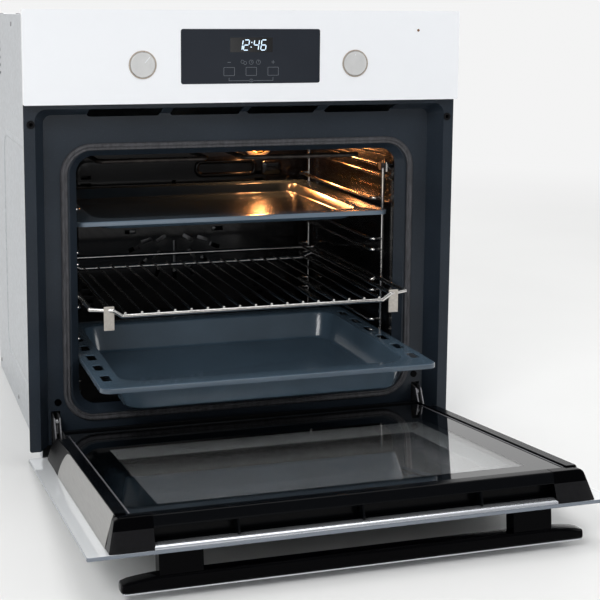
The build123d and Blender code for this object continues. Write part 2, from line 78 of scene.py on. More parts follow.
class Look:
    """A material and a few nodes to vary it with."""

    def __init__(self, name, colour, roughness, **inputs):
        self.mat = LOOKS[name] = bpy.data.materials.new(name)
        self.mat.use_nodes = True
        self.tree = self.mat.node_tree
        self.shader = self.tree.nodes["Principled BSDF"]
        self.shader.inputs["Base Color"].default_value = colour
        self.shader.inputs["Roughness"].default_value = roughness
        for key, value in inputs.items():
            self.shader.inputs[key.replace("_", " ")].default_value = value
        self.height = None

    def node(self, kind, **settings):
        n = self.tree.nodes.new(kind)
        for key, value in settings.items():
            setattr(n, key, value)
        return n

    def link(self, a, b):
        self.tree.links.new(a, b)

    def place(self, scale=(1, 1, 1)):
        """Object coordinates, so a pattern keeps its size on every piece."""
        coord = self.node("ShaderNodeTexCoord")
        mapping = self.node("ShaderNodeMapping")
        mapping.inputs["Scale"].default_value = scale
        self.link(coord.outputs["Object"], mapping.inputs["Vector"])
        return mapping.outputs["Vector"]

    def noise(self, scale, detail, stretch=(1, 1, 1)):
        n = self.node("ShaderNodeTexNoise")
        n.inputs["Scale"].default_value = scale
        n.inputs["Detail"].default_value = detail
        self.link(self.place(stretch), n.inputs["Vector"])
        return n.outputs["Fac"]

    def cells(self, scale, output="Distance"):
        n = self.node("ShaderNodeTexVoronoi")
        n.inputs["Scale"].default_value = scale
        self.link(self.place(), n.inputs["Vector"])
        return n.outputs[output]

    def ramp(self, value, stops):
        n = self.node("ShaderNodeValToRGB")
        elements = n.color_ramp.elements
        while len(elements) < len(stops):
            elements.new(0.5)
        for element, (place, colour) in zip(elements, stops):
            element.position = place
            element.color = colour if len(colour) == 4 else (*colour, 1.0)
        self.link(value, n.inputs["Fac"])
        return n.outputs["Color"]

    def tint(self, value, stops):
        self.link(self.ramp(value, stops), self.shader.inputs["Base Color"])

    def gloss(self, value, low, high):
        n = self.node("ShaderNodeMapRange")
        n.inputs["To Min"].default_value = low
        n.inputs["To Max"].default_value = high
        self.link(value, n.inputs["Value"])
        self.link(n.outputs["Result"], self.shader.inputs["Roughness"])

    def bump(self, value, distance, strength=1.0):
        n = self.node("ShaderNodeBump")
        n.inputs["Strength"].default_value = strength
        n.inputs["Distance"].default_value = distance
        self.link(value, n.inputs["Height"])
        if self.height is not None:
            self.link(self.height, n.inputs["Normal"])
        self.height = n.outputs["Normal"]
        self.link(self.height, self.shader.inputs["Normal"])


def panel_looks():
    """White panel, display, knobs and LED."""
    white = Look("white_paint", srgb(238, 240, 243), 0.32, Coat_Weight=0.35,
                 Coat_Roughness=0.12)
    white.bump(white.noise(900, 2), 0.00004, 0.5)
    white.gloss(white.noise(14, 3), 0.28, 0.36)

    slate = Look("display_slate", srgb(37, 41, 48), 0.34, Specular_IOR_Level=0.16)
    slate.tint(slate.noise(9, 2), [(0.3, srgb(34, 38, 45)), (0.75, srgb(40, 44, 51))])
    slate.bump(slate.noise(1500, 1), 0.00002, 0.4)

    black_pane = Look("display_black", srgb(3, 3, 5), 0.12)
    black_pane.gloss(black_pane.noise(40, 2), 0.1, 0.16)

    digits = Look("display_digits", srgb(190, 208, 224), 0.4, Emission_Strength=1.0)
    digits.shader.inputs["Emission Color"].default_value = srgb(190, 212, 230)
    digits.gloss(digits.noise(300, 2), 0.35, 0.5)

    print_grey = Look("display_print", srgb(96, 101, 108), 0.45)
    print_grey.tint(print_grey.noise(400, 2),
                    [(0.3, srgb(90, 95, 102)), (0.7, srgb(104, 109, 116))])

    knob = Look("knob_metal", srgb(209, 209, 208), 0.34, Metallic=0.35)
    knob.tint(knob.noise(60, 4),
              [(0.25, srgb(203, 203, 202)), (0.8, srgb(217, 217, 216))])
    knob.gloss(knob.noise(900, 2), 0.3, 0.42)
    knob.bump(knob.noise(2600, 2), 0.00002, 0.5)

    ring = Look("knob_ring", srgb(186, 174, 162), 0.3, Metallic=0.6)
    ring.gloss(ring.noise(500, 2), 0.22, 0.38)

    led = Look("led_clear", srgb(120, 84, 60), 0.15)
    led.tint(led.noise(900, 2), [(0.3, srgb(96, 60, 40)), (0.7, srgb(140, 110, 84))])


def enamel_looks():
    """Speckled enamel: the frame, the cavity darkened as painted shade, the trays, and their rims
    lightened as painted light.
    """
    for name, low, high, speck, coat, smooth, rough in (
        ("frame_enamel", srgb(27, 34, 42), srgb(35, 43, 52), srgb(84, 96, 108),
         0.08, 0.26, 0.4),
        # the cavity's copy of the frame's enamel: its own dark colour made darker still, as
        # painted shade inside the cavity
        ("cavity_enamel", srgb(6, 6, 8), srgb(11, 11, 13), srgb(40, 38, 38),
         0.3, 0.17, 0.3),
    ):
        enamel = Look(name, low, 0.34, Coat_Weight=coat, Coat_Roughness=0.1,
                      Specular_IOR_Level=0.22)
        base = enamel.ramp(enamel.noise(11, 4), [(0.3, low), (0.75, high)])
        dots = enamel.ramp(enamel.cells(520), [(0.0, (1, 1, 1)), (0.16, (0, 0, 0))])
        mix = enamel.node("ShaderNodeMix", data_type="RGBA")
        enamel.link(dots, mix.inputs["Factor"])
        enamel.link(base, mix.inputs[6])
        mix.inputs[7].default_value = speck
        enamel.link(mix.outputs[2], enamel.shader.inputs["Base Color"])
        enamel.gloss(enamel.noise(30, 3), smooth, rough)
        enamel.bump(enamel.noise(420, 2), 0.00006, 0.4)

    for name, low, high, speck in (
        ("tray_enamel", srgb(60, 76, 89), srgb(70, 87, 101), srgb(124, 142, 158)),
        # the rims are lighter copies of the tray's enamel: painted light on the rim's edge and
        # skirt, dimmer on the pan's rim
        ("tray_rim_painted_light", srgb(94, 108, 121), srgb(106, 120, 133), srgb(150, 166, 180)),
        ("pan_rim_painted_light", srgb(70, 82, 93), srgb(80, 93, 105), srgb(126, 142, 156)),
    ):
        tray = Look(name, low, 0.22, Coat_Weight=0.3, Coat_Roughness=0.05,
                    Specular_IOR_Level=0.35)
        base = tray.ramp(tray.noise(16, 4), [(0.25, low), (0.8, high)])
        dots = tray.ramp(tray.cells(760), [(0.0, (0.5, 0.5, 0.5)), (0.2, (0, 0, 0))])
        mix = tray.node("ShaderNodeMix", data_type="RGBA")
        tray.link(dots, mix.inputs["Factor"])
        tray.link(base, mix.inputs[6])
        mix.inputs[7].default_value = speck
        tray.link(mix.outputs[2], tray.shader.inputs["Base Color"])
        tray.gloss(tray.noise(50, 3), 0.14, 0.26)
        tray.bump(tray.noise(260, 2), 0.00006, 0.35)


def inner_looks():
    """Gasket, bright wire, steel, heaters, zinc-coated case and wool."""
    seal = Look("seal", srgb(52, 52, 55), 0.62)
    seal.tint(seal.noise(260, 4, (1, 1, 0.25)),
              [(0.25, srgb(38, 38, 41)), (0.8, srgb(74, 74, 78))])
    seal.bump(seal.noise(700, 4, (1, 1, 0.4)), 0.0004, 0.6)

    chrome = Look("chrome", srgb(205, 203, 200), 0.13, Metallic=1.0)
    chrome.gloss(chrome.noise(200, 2), 0.08, 0.2)
    chrome.tint(chrome.noise(90, 3), [(0.3, srgb(188, 186, 184)), (0.7, srgb(216, 214, 211))])

    satin = Look("satin_steel", srgb(186, 180, 172), 0.4, Metallic=0.5)
    satin.tint(satin.noise(300, 3), [(0.2, srgb(172, 166, 158)), (0.8, srgb(200, 194, 186))])
    satin.bump(satin.noise(1200, 3), 0.00003, 0.5)

    steel = Look("steel", srgb(150, 150, 152), 0.32, Metallic=0.9)
    steel.tint(steel.noise(120, 4, (1, 4, 1)),
               [(0.2, srgb(120, 120, 122)), (0.8, srgb(168, 168, 170))])
    steel.gloss(steel.noise(300, 3), 0.24, 0.42)

    heater = Look("heater", srgb(64, 60, 57), 0.42, Metallic=0.75)
    heater.tint(heater.noise(80, 4), [(0.3, srgb(46, 42, 40)), (0.8, srgb(84, 78, 74))])
    heater.bump(heater.noise(600, 3), 0.00005, 0.5)

    zinc = Look("zinc_case", srgb(190, 193, 196), 0.42, Metallic=0.55)
    spangle = zinc.ramp(zinc.cells(210, output="Color"),
                        [(0.1, srgb(180, 183, 186)), (0.95, srgb(200, 203, 206))])
    zinc.link(spangle, zinc.shader.inputs["Base Color"])
    zinc.gloss(zinc.cells(210, output="Color"), 0.38, 0.5)
    zinc.bump(zinc.noise(260, 3), 0.00003, 0.3)

    wool = Look("wool", srgb(196, 178, 128), 0.95)
    wool.tint(wool.noise(90, 6, (1, 1, 4)),
              [(0.2, srgb(170, 150, 98)), (0.8, srgb(214, 198, 152))])
    wool.bump(wool.noise(200, 5, (1, 1, 3)), 0.003, 0.8)


def black_looks():
    """Black plastic, wet-looking enamel, gloss black and satin rails."""
    matte = Look("black_plastic", srgb(15, 15, 17), 0.5, Specular_IOR_Level=0.1)
    matte.tint(matte.noise(200, 3), [(0.3, srgb(12, 12, 14)), (0.8, srgb(18, 18, 20))])
    matte.bump(matte.noise(1400, 3), 0.00006, 0.6)

    wet = Look("cavity_gloss", srgb(10, 10, 12), 0.16, Coat_Weight=0.5, Coat_Roughness=0.1)
    wet.gloss(wet.noise(60, 3), 0.12, 0.24)
    wet.bump(wet.noise(300, 2), 0.00006, 0.4)

    gloss = Look("gloss_black", srgb(1, 1, 2), 0.1, IOR=1.25, Specular_IOR_Level=0.13)
    gloss.gloss(gloss.noise(60, 2), 0.07, 0.15)
    gloss.bump(gloss.noise(140, 1), 0.00004, 0.3)

    rail = Look("rail_black", srgb(3, 4, 6), 0.2, IOR=1.3, Specular_IOR_Level=0.18)
    rail.gloss(rail.noise(90, 2), 0.15, 0.28)


def trim_looks():
    """The door's edge strips as painted highlight, side plates, aluminium and glass edge."""
    trim = Look("pane_trim", srgb(92, 92, 96), 0.25, Specular_IOR_Level=0.3)
    trim.tint(trim.noise(30, 2, (1, 0.2, 1)),
              [(0.3, srgb(70, 70, 74)), (0.7, srgb(104, 104, 108))])

    side = Look("side_paint", srgb(150, 149, 147), 0.5, Specular_IOR_Level=0.3)
    side.tint(side.noise(130, 5, (1, 0.25, 6)),
              [(0.2, srgb(143, 142, 140)), (0.8, srgb(156, 155, 153))])
    side.bump(side.noise(220, 4, (1, 0.3, 8)), 0.00006, 0.5)

    aluminium = Look("aluminium", srgb(205, 208, 213), 0.26, Metallic=0.9)
    aluminium.gloss(aluminium.noise(120, 3, (0.05, 1, 1)), 0.2, 0.34)
    aluminium.bump(aluminium.noise(900, 2, (0.02, 1, 1)), 0.00003, 0.5)

    edge = Look("glass_edge", srgb(104, 112, 122), 0.2, Coat_Weight=0.5)
    edge.gloss(edge.noise(200, 2), 0.14, 0.28)


def glass_looks():
    """Front pane: white print; a window with painted light inside and its dark tint with painted
    shade outside; clear inner panes.
    """
    front = Look("glass_white", srgb(236, 239, 241), 0.08, Coat_Weight=1.0,
                 Coat_Roughness=0.02)
    front.gloss(front.noise(5, 1), 0.06, 0.1)

    # the window from outside: its dark tint, with painted shade for the cavity seen through it
    outer = Look("glass_window_tint_painted_shade", srgb(34, 35, 37), 0.06, Coat_Weight=0.6, Coat_Roughness=0.02)
    outer.gloss(outer.noise(5, 1), 0.04, 0.08)

    # the window from inside: painted light, a mid grey standing in for the floor seen through the
    # glass
    dark = Look("glass_window_painted_light", srgb(100, 99, 99), 0.06, Coat_Weight=0.3, Coat_Roughness=0.02)
    dark.gloss(dark.noise(5, 1), 0.04, 0.08)

    border = Look("glass_border", srgb(2, 3, 4), 0.04, IOR=1.52)
    border.gloss(border.noise(6, 1), 0.03, 0.06)

    pane = Look("glass_pane", (0.96, 0.97, 0.97, 1), 0.0, Transmission_Weight=1.0, IOR=1.45)
    pane.gloss(pane.noise(6, 1), 0.0, 0.02)


def lamp_looks():
    """Lamp bulb and lens, and the circuit board."""
    bulb = Look("bulb_glow", srgb(255, 196, 120), 0.3, Emission_Strength=14.0)
    bulb.shader.inputs["Emission Color"].default_value = srgb(255, 170, 84)
    bulb.gloss(bulb.noise(60, 2), 0.2, 0.4)

    lens = Look("lamp_lens", (1, 0.94, 0.86, 1), 0.12, Transmission_Weight=1.0, IOR=1.45)
    lens.bump(lens.noise(160, 2), 0.0004, 0.6)

    board = Look("circuit", srgb(24, 74, 48), 0.5)
    board.tint(board.noise(200, 3), [(0.3, srgb(18, 58, 38)), (0.8, srgb(34, 92, 60))])


for make in (panel_looks, enamel_looks, inner_looks, black_looks, trim_looks, glass_looks,
             lamp_looks):
    make()


# ------------------------------------------------------------------ mesh helpers
def solid(name, verts, faces):
    """A linked object from points and faces, all faces turned outwards."""
    mesh = bpy.data.meshes.new(name)
    mesh.from_pydata([tuple(v) for v in verts], [], faces)
    mesh.validate()
    obj = bpy.data.objects.new(name, mesh)
    bpy.context.scene.collection.objects.link(obj)
    bm = bmesh.new()
    bm.from_mesh(mesh)
    bmesh.ops.recalc_face_normals(bm, faces=bm.faces)
    bm.to_mesh(mesh)
    bm.free()
    return obj


def add(name, verts, faces, look, body, replaces=(), smooth=False):
    """A visible piece that rides on a body, and may stand for CAD nodes."""
    obj = solid(name, verts, faces)
    mesh = obj.data
    looks = look if isinstance(look, (list, tuple)) else [look]
    for one in looks:
        mesh.materials.append(LOOKS[one])
    mesh.polygons.foreach_set("use_smooth", [smooth] * len(mesh.polygons))
    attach(obj, body)
    if replaces:
        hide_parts(*([replaces] if isinstance(replaces, str) else replaces))
    return obj


def crisp(obj, angle):
    """Keep the edges sharper than this angle hard on a smooth piece."""
    split = obj.modifiers.new("edges", "EDGE_SPLIT")
    split.split_angle = math.radians(angle)


def bevel(obj, width, segments=2, angle=35.0):
    """Round the edges sharper than this angle; the width is in millimetres."""
    mod = obj.modifiers.new("round", "BEVEL")
    mod.width = width * MM
    mod.segments = segments
    mod.limit_method = "ANGLE"
    mod.angle_limit = math.radians(angle)
    mod.harden_normals = False
    obj.data.polygons.foreach_set("use_smooth", [True] * len(obj.data.polygons))
    weighted = obj.modifiers.new("normals", "WEIGHTED_NORMAL")
    weighted.weight = 100


def carry(node, look, width=0.0, segments=2, angle=35.0):
    """Keep a CAD node's mesh, with smooth curves, softened edges and a new material."""
    obj = NODES[node]
    weld = obj.modifiers.new("weld", "WELD")
    weld.merge_threshold = 0.00001
    obj.data.polygons.foreach_set("use_smooth", [True] * len(obj.data.polygons))
    if width:
        bevel(obj, width, segments, angle)
        obj.modifiers["round"].use_clamp_overlap = True
    else:
        crisp(obj, 32)
    for index in range(max(1, len(obj.data.materials))):
        if index < len(obj.data.materials):
            obj.data.materials[index] = LOOKS[look]
        else:
            obj.data.materials.append(LOOKS[look])


def round_rect(hx, hy, radius, steps=8):
    """Points round a rounded rectangle about the origin, anticlockwise."""
    points = []
    radius = min(radius, hx, hy)
    for corner, (sx, sy) in enumerate(((1, 1), (-1, 1), (-1, -1), (1, -1))):
        for k in range(steps + 1):
            a = math.radians(90 * corner + 90 * k / steps)
            points.append((sx * (hx - radius) + radius * math.cos(a),
                           sy * (hy - radius) + radius * math.sin(a)))
    return points


def skin(loops, closed_stack=False, caps=(False, False)):
    """Join equal closed loops of points; returns vertices and faces."""
    count = len(loops[0])
    verts = [p for loop in loops for p in loop]
    faces = []
    rows = len(loops)
    for i in range(rows if closed_stack else rows - 1):
        a, b = i * count, ((i + 1) % rows) * count
        for k in range(count):
            n = (k + 1) % count
            faces.append((a + k, a + n, b + n, b + k))
    if caps[0]:
        faces.append(tuple(reversed(range(count))))
    if caps[1]:
        faces.append(tuple(range((rows - 1) * count, rows * count)))
    return verts, faces


def box_mesh(x0, x1, y0, y1, z0, z1, place=at):
    verts = [place(x, y, z) for x in (x0, x1) for y in (y0, y1) for z in (z0, z1)]
    faces = [(0, 1, 3, 2), (4, 6, 7, 5), (0, 4, 5, 1), (2, 3, 7, 6), (0, 2, 6, 4), (1, 5, 7, 3)]
    return verts, faces


def merged(parts):
    """Several (vertices, faces) pairs as one."""
    verts, faces = [], []
    for v, f in parts:
        base = len(verts)
        verts += list(v)
        faces += [tuple(i + base for i in face) for face in f]
    return verts, faces


def lathe(profile, x, z, steps=64, ring=False):
    """Turn (radius, y) points about the Y direction through (x, z); a ring has no ends."""
    loops = []
    for radius, y in profile:
        loops.append([at(x + radius * math.cos(2 * math.pi * k / steps), y,
                         z + radius * math.sin(2 * math.pi * k / steps))
                      for k in range(steps)])
    return skin(loops, closed_stack=ring, caps=(not ring, not ring))


def prism_x(outline, x0, x1, place=at):
    """Prism along X of a (y, z) outline."""
    loops = [[place(x, y, z) for y, z in outline] for x in (x0, x1)]
    return skin(loops, caps=(True, True))


# ------------------------------------------------------------------ control panel
def control_panel():
    carry("control_panel", "white_paint", 0.5, 2, 50)
    carry("display_window", "display_slate", 0.25, 2, 50)
    carry("knob_bezel", "knob_ring", 0.25, 2, 50)
    carry("led_lens", "led_clear", 0.3, 2, 50)
    carry("display_board", "circuit")
    for side, name in ((-1, "function"), (1, "thermostat")):
        # the dial's face is dished a little; its skirt and hub run back through the panel
        profile = [(0.01, -1.25), (12.0, -1.3), (14.6, -1.45), (15.6, -1.5), (16.05, -1.3),
                   (16.25, -0.8), (16.25, 13.0), (14.2, 13.0), (14.2, 1.5), (6.0, 1.5),
                   (6.0, 24.0), (3.1, 24.0), (3.1, 4.0), (0.01, 4.0)]
        v, f = lathe(profile, side * KNOB_X, KNOB_Z)
        knob = add(name + "_dial", v, f, "knob_metal", name + "_knob", name + "_knob", True)
        crisp(knob, 40)
        carry(name + "_shaft", "steel")
        carry(name + "_switch", "black_plastic", 0.4)
    # a short raised line on the left dial, and a small dot on the right one
    start, end, half_width = Vector((-142.7, 527.4)), Vector((-135.9, 535.1)), 0.42
    along = (end - start).normalized()
    across = Vector((-along.y, along.x)) * half_width
    ring = [start + across, start - across, end - across, end + across]
    loops = [[at(p.x, y, p.y) for p in ring] for y in (-1.9, -1.2)]
    v, f = skin(loops, caps=(True, True))
    add("function_pointer", v, f, "white_paint", "function_knob")
    v, f = lathe([(0.01, -1.75), (0.8, -1.7), (0.9, -1.2), (0.01, -1.2)], KNOB_X,
                 536.4, 20)
    add("thermostat_dot", v, f, "white_paint", "thermostat_knob", smooth=True)


PRINT_FRONT, PRINT_BACK = -0.42, -0.2       # depth of the symbols on the display
CLOCK_FOOT = 543.3                          # foot of the clock's digits
KEY_Z = 515.5                               # middle of the three touch keys
SEGMENTS = {"1": "bc", "2": "abged", "4": "fgbc", "6": "afgedc"}


def digit_quads(char, x, z, w, h, t, slant):
    """Flat bars of a seven-segment digit; z is its foot, slant leans it right."""
    bars = {
        "a": (x, z + h, x + w, z + h), "g": (x, z + h / 2, x + w, z + h / 2),
        "d": (x, z, x + w, z), "f": (x, z + h / 2, x, z + h), "e": (x, z, x, z + h / 2),
        "b": (x + w, z + h / 2, x + w, z + h), "c": (x + w, z, x + w, z + h / 2),
    }
    quads = []
    for key in SEGMENTS[char]:
        x0, z0, x1, z1 = bars[key]
        gap = 0.35
        if z0 == z1:
            pts = [(x0 + gap, z0), (x0 + gap + t / 2, z0 + t / 2), (x1 - gap - t / 2, z0 + t / 2),
                   (x1 - gap, z0), (x1 - gap - t / 2, z0 - t / 2), (x0 + gap + t / 2, z0 - t / 2)]
        else:
            pts = [(x0, z0 + gap), (x0 + t / 2, z0 + gap + t / 2), (x0 + t / 2, z1 - gap - t / 2),
                   (x0, z1 - gap), (x0 - t / 2, z1 - gap - t / 2), (x0 - t / 2, z0 + gap + t / 2)]
        quads.append([(px + slant * (pz - z), pz) for px, pz in pts])
    return quads


def plates(shapes, y_front, y_back):
    """Thin plates from (x, z) outlines."""
    parts = []
    for shape in shapes:
        loops = [[at(x, y, z) for x, z in shape] for y in (y_front, y_back)]
        parts.append(skin(loops, caps=(True, True)))
    return merged(parts)


def rect(x0, x1, z0, z1):
    return [(x0, z0), (x1, z0), (x1, z1), (x0, z1)]


def disc(x, z, radius, steps=20):
    return [(x + radius * math.cos(2 * math.pi * k / steps),
             z + radius * math.sin(2 * math.pi * k / steps)) for k in range(steps)]


def hollow(outer, inner, y_front, y_back):
    """A frame between two outlines that have as many points."""
    loops = []
    for shape, y in ((outer, y_front), (outer, y_back), (inner, y_back), (inner, y_front)):
        loops.append([at(x, y, z) for x, z in shape])
    return skin(loops, closed_stack=True)


def moved(points, x, z):
    return [(px + x, pz + z) for px, pz in points]


def display():
    """Clock pane and digits, minus and plus, three touch keys and their small symbols."""
    v, f = plates([rect(-29, 29, 540.6, 559.6)], -0.38, -0.2)
    add("clock_pane", v, f, "display_black", "oven")
    quads = []
    for char, x in (("1", -19.8), ("2", -11.2), ("4", 2.4), ("6", 12.4)):
        quads += digit_quads(char, x, CLOCK_FOOT, 6.6, 13.2, 1.25, 0.14)
    quads += [disc(-0.6, 547.2, 0.8), disc(0.3, 553.2, 0.8)]
    v, f = plates(quads, -0.46, -0.3)
    add("clock_digits", v, f, "display_digits", "oven")

    prints = []
    for x in (-30.4, -0.3, 29.8):
        outer = moved(round_rect(7.5, 5.6, 1.0, 3), x, KEY_Z)
        inner = moved(round_rect(6.95, 5.05, 0.6, 3), x, KEY_Z)
        prints.append(hollow(outer, inner, PRINT_FRONT, PRINT_BACK))
    bars = [rect(-32.6, -28.2, 527.2, 527.9), rect(27.6, 32.0, 527.2, 527.9),
            rect(29.45, 30.15, 525.3, 529.8),
            rect(-30.8, -3.2, 503.2, 503.8), rect(2.8, 29.9, 503.2, 503.8),
            rect(-30.8, -30.2, 503.8, 507.4), rect(29.3, 29.9, 503.8, 507.4)]
    prints.append(plates(bars, PRINT_FRONT, PRINT_BACK))
    rings = [(-0.2, 503.5, 2.4), (-12.3, 528.2, 2.4), (-8.6, 526.4, 2.2), (-0.3, 527.5, 3.1),
             (9.4, 527.5, 3.1)]
    for x, z, r in rings:
        prints.append(hollow(disc(x, z, r, 24), disc(x, z, r - 0.5, 24), PRINT_FRONT,
                             PRINT_BACK))
    hands = [rect(-0.45, 0.0, 527.3, 529.6), rect(-0.3, 1.5, 527.2, 527.7),
             rect(9.2, 9.7, 527.3, 529.9), rect(-0.45, 0.05, 502.2, 504.8)]
    prints.append(plates(hands, PRINT_FRONT, PRINT_BACK))
    v, f = merged(prints)
    add("touch_print", v, f, "display_print", "oven")


# ------------------------------------------------------------------ frame and cavity
def gasket():
    """Soft seal round the mouth with a broad outer ridge and a thin inner lip."""
    middle_z, half_x, half_z = 235.5, 239.0, 177.5
    profile = [(0.0, 0.0), (0.0, -2.2), (0.5, -3.3), (1.4, -3.5), (2.2, -2.9), (2.9, -2.4),
               (3.7, -3.1), (4.9, -4.0), (6.2, -4.2), (7.4, -3.7), (8.4, -2.6), (9.0, -1.2),
               (9.0, 0.0)]
    loops = []
    for out, proud in profile:
        ring = round_rect(half_x + out, half_z + out, 33.0 + out, 14)
        loops.append([at(x, FRAME_FLOOR_Y + proud, middle_z + z) for x, z in ring])
    v, f = skin(loops, closed_stack=True)
    add("gasket_seal", v, f, "seal", "oven", "door_gasket", True)


def grommets():
    """Soft black sleeves in the two cabinet screw holes."""
    for side, name in SIDES:
        profile = [(0.01, 20.0), (2.2, 20.0), (2.3, 12.4), (2.6, 11.2), (3.4, 10.9), (5.0, 11.1),
                   (5.3, 11.7), (5.2, 12.0), (2.72, 12.0), (2.72, 13.3), (3.6, 13.5),
                   (3.4, 21.0), (0.01, 21.2)]
        v, f = lathe(profile, side * CABINET_SCREW_X, CABINET_SCREW_Z, 40)
        sleeve = add("screw_sleeve_" + name, v, f, "black_plastic", "oven", smooth=True)
        crisp(sleeve, 40)


def oven_front():
    carry("front_frame", "frame_enamel", 1.6, 3, 25)
    carry("frame_screw", "gloss_black", 0.6, 3)
    gasket()
    grommets()


def wall_ribs():
    """Ribs pressed into the liner's side walls, rounded and run out at both ends."""
    half_round = [(0.0, -3.6), (1.1, -3.0), (1.9, -1.6), (2.2, 0.0), (1.9, 1.6), (1.1, 3.0),
                  (0.0, 3.6)]
    near = 70.0
    for side, name in SIDES:
        parts = []
        for z, far in ((389.0, 330.0), (371.0, 420.0), (356.0, 420.0), (100.0, 420.0)):
            loops = []
            for y, size in ((near, 0.05), (near + 3, 0.8), (near + 8, 1.0), (far - 8, 1.0),
                            (far - 3, 0.8), (far, 0.05)):
                loops.append([at(side * (LINER_SIDE - proud * size), y, z + across * size)
                              for proud, across in half_round])
            parts.append(skin(loops, caps=(True, True)))
        v, f = merged(parts)
        add("wall_rib_" + name, v, f, "cavity_gloss", "oven", smooth=True)


def roof_bead():
    """Rounded loop pressed into the liner's roof."""
    loops = []
    for shrink, drop in ((0.0, -0.2), (1.4, 1.2), (4.0, 2.4), (6.6, 1.2), (8.0, -0.2)):
        ring = round_rect(196 - shrink, 165 - shrink, 40 - shrink, 10)
        loops.append([at(x, 255 + y, LINER_ROOF - drop) for x, y in ring])
    v, f = skin(loops, closed_stack=True)
    add("roof_bead", v, f, "cavity_gloss", "oven", smooth=True)


def hood_bead():
    """Long rounded loop pressed into the top of the fan cover."""
    loops = []
    for grow, y in ((0.0, 441.4), (-0.6, 440.2), (-2.2, 438.8), (-4.0, 438.2), (-5.8, 438.8),
                    (-7.4, 440.2), (-8.0, 441.4)):
        loops.append([at(88 + x, y, 336 + z)
                      for x, z in round_rect(54 + grow, 15 + grow, 13 + grow * 0.9, 8)])
    v, f = skin(loops, closed_stack=True)
    add("hood_bead", v, f, "cavity_enamel", "oven", smooth=True)


def wall_tab():
    """Small rounded tab with a slot, on the rear wall under the lamp."""
    loops = []
    # from its back round its face and into the slot: (half width, half height, radius, y, rise)
    for hx, hz, r, y, rise in ((18.0, 12.0, 5.0, 452.0, 0.0), (18.0, 12.0, 5.0, 440.4, 0.0),
                               (17.4, 11.4, 4.6, 438.8, 0.0), (16.0, 10.0, 4.0, 438.0, 0.0),
                               (8.2, 1.8, 1.4, 438.0, 4.0), (8.0, 1.6, 1.3, 438.6, 4.0),
                               (8.0, 1.6, 1.3, 443.0, 4.0)):
        loops.append([at(168 + x, y, 334 + rise + z) for x, z in round_rect(hx, hz, r, 6)])
    v, f = skin(loops, caps=(True, True))
    crisp(add("wall_tab", v, f, "cavity_gloss", "oven", smooth=True), 60)


def lamp_bezel():
    """Ring round the lamp's glass."""
    profile = [(19.0, 462.5), (19.0, 459.5), (20.5, 457.6), (23.5, 457.2), (26.5, 458.6),
               (27.5, 461.0), (27.5, 462.5)]
    v, f = lathe(profile, LAMP_X, LAMP_Z, 48, ring=True)
    add("lamp_bezel", v, f, "satin_steel", "oven", smooth=True)


def cavity():
    wall_ribs()
    roof_bead()
    hood_bead()
    wall_tab()
    lamp_bezel()
    carry("cavity_liner", "cavity_enamel")
    carry("fan_cover", "cavity_enamel", 0.8, 2)
    carry("convection_fan", "steel")
    carry("convection_motor", "steel", 1.0)
    carry("grill_element", "heater")
    carry("bottom_element", "heater")
    carry("temperature_probe", "steel", 0.6)
    carry("side_rack_left", "chrome")
    carry("side_rack_right", "chrome")
    carry("rack_stud", "steel", 0.6)
    carry("lamp_glass", "lamp_lens")
    carry("lamp_bulb", "bulb_glow", 2.0, 3)
    carry("insulation", "wool")


def case_screws():
    """Domed screws of the case, each with a fine raised cross, on its sides, top and back."""
    head = [(0.0, 1.35), (1.6, 1.3), (2.9, 1.05), (3.6, 0.5), (3.7, -0.3), (0.0, -0.3)]
    turns = {"x": lambda r, a, h: (h, r * math.cos(a), r * math.sin(a)),
             "y": lambda r, a, h: (r * math.cos(a), h, r * math.sin(a)),
             "z": lambda r, a, h: (r * math.cos(a), r * math.sin(a), h)}
    seam_x = 266        # the seam that the top's and the back's outer screws follow
    places = []
    for side in (-1, 1):
        places += [("x", side, (side * CASE_SIDE, y, z))
                   for y in (40, 290, 520) for z in (16, 574)]
        places += [("z", 1, (side * seam_x, y, CASE_TOP)) for y in (60, 300, 520)]
        places += [("y", 1, (side * x, CASE_BACK, z)) for x in (seam_x, 90) for z in (14, 575)]
        places += [("y", 1, (side * seam_x, CASE_BACK, z)) for z in (240, 420)]
    parts = []
    for axis, sign, centre in places:
        turn = turns[axis]
        loops = []
        for radius, height in head:
            ring = [turn(max(radius, 0.01), 2 * math.pi * k / 20, sign * height)
                    for k in range(20)]
            loops.append([at(*(c + d for c, d in zip(centre, point))) for point in ring])
        parts.append(skin(loops, caps=(True, True)))
        for flip in (0, 1):
            wide, tall = (1.9, 0.35) if flip else (0.35, 1.9)
            corners = ((wide, tall), (-wide, tall), (-wide, -tall), (wide, -tall))
            bar = []
            for height in (1.1, 1.42):
                bar.append([at(*(c + d for c, d in zip(centre, point))) for point in
                            (turn(math.hypot(u, v), math.atan2(v, u), sign * height)
                             for u, v in corners)])
            parts.append(skin(bar, caps=(True, True)))
    v, f = merged(parts)
    add("case_screws", v, f, "steel", "oven")


def case_beads():
    """Pressed stiffening beads, one long loop on each side of the case."""
    for side, name in SIDES:
        loops = []
        for shrink, proud in ((0.0, -0.4), (0.0, 0.05), (3.0, 1.3), (9.0, 1.3), (12.0, 0.05),
                              (12.0, -0.4)):
            ring = round_rect(175 - shrink, 180 - shrink, 42 - shrink, 10)
            loops.append([at(side * (CASE_SIDE + proud), 245 + y, 235 + z) for y, z in ring])
        v, f = skin(loops, closed_stack=True)
        add("side_bead_" + name, v, f, "zinc_case", "oven", smooth=True)


